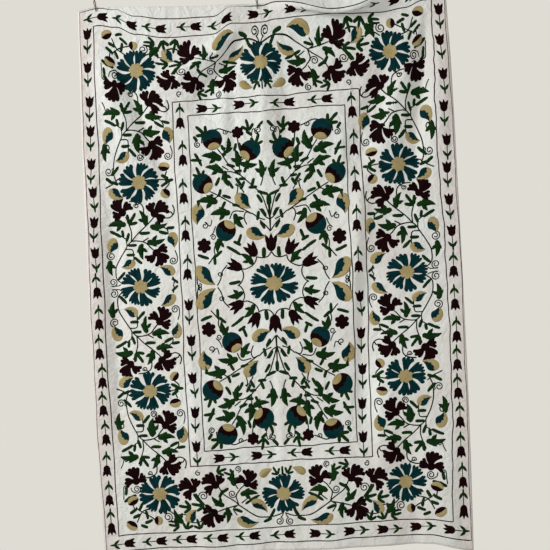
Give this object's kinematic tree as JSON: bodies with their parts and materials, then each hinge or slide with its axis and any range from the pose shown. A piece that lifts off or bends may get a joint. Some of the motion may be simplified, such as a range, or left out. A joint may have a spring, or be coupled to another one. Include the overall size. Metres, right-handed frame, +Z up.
{
  "type": "embroidered suzani wall hanging with wire hangers",
  "caption": "White cotton wall hanging with teal, maroon and green embroidered rosettes, flowers and borders, on bent wire hangers.",
  "frame": {"origin": "middle of the centre hanger's eye, where the hanging is held", "axes": "+Z up along the hanging's length, -Y out of the embroidered face, +X to the right as seen from the front"},
  "size_m": [1.46, 0.0596, 2.3144],
  "materials": {
    "cotton_cloth": "plain-woven cotton, matt, a little uneven",
    "hanger_wire": "dull dark steel wire",
    "thread_teal": "teal silky thread in close chain-stitch rows",
    "thread_maroon": "very dark maroon silky thread in close chain-stitch rows",
    "thread_green": "dark green silky thread in close chain-stitch rows",
    "thread_straw": "straw-coloured silky thread in close chain-stitch rows",
    "thread_dark": "near-black green thread in single chain-stitch lines",
    "thread_line": "dark brown-maroon thread in single chain-stitch lines"
  },
  "bodies": {
    "root": {"cloth": "cotton_cloth", "hanger_left": "hanger_wire", "hanger_centre": "hanger_wire", "hanger_right": "hanger_wire"}
  },
  "joints": []
}
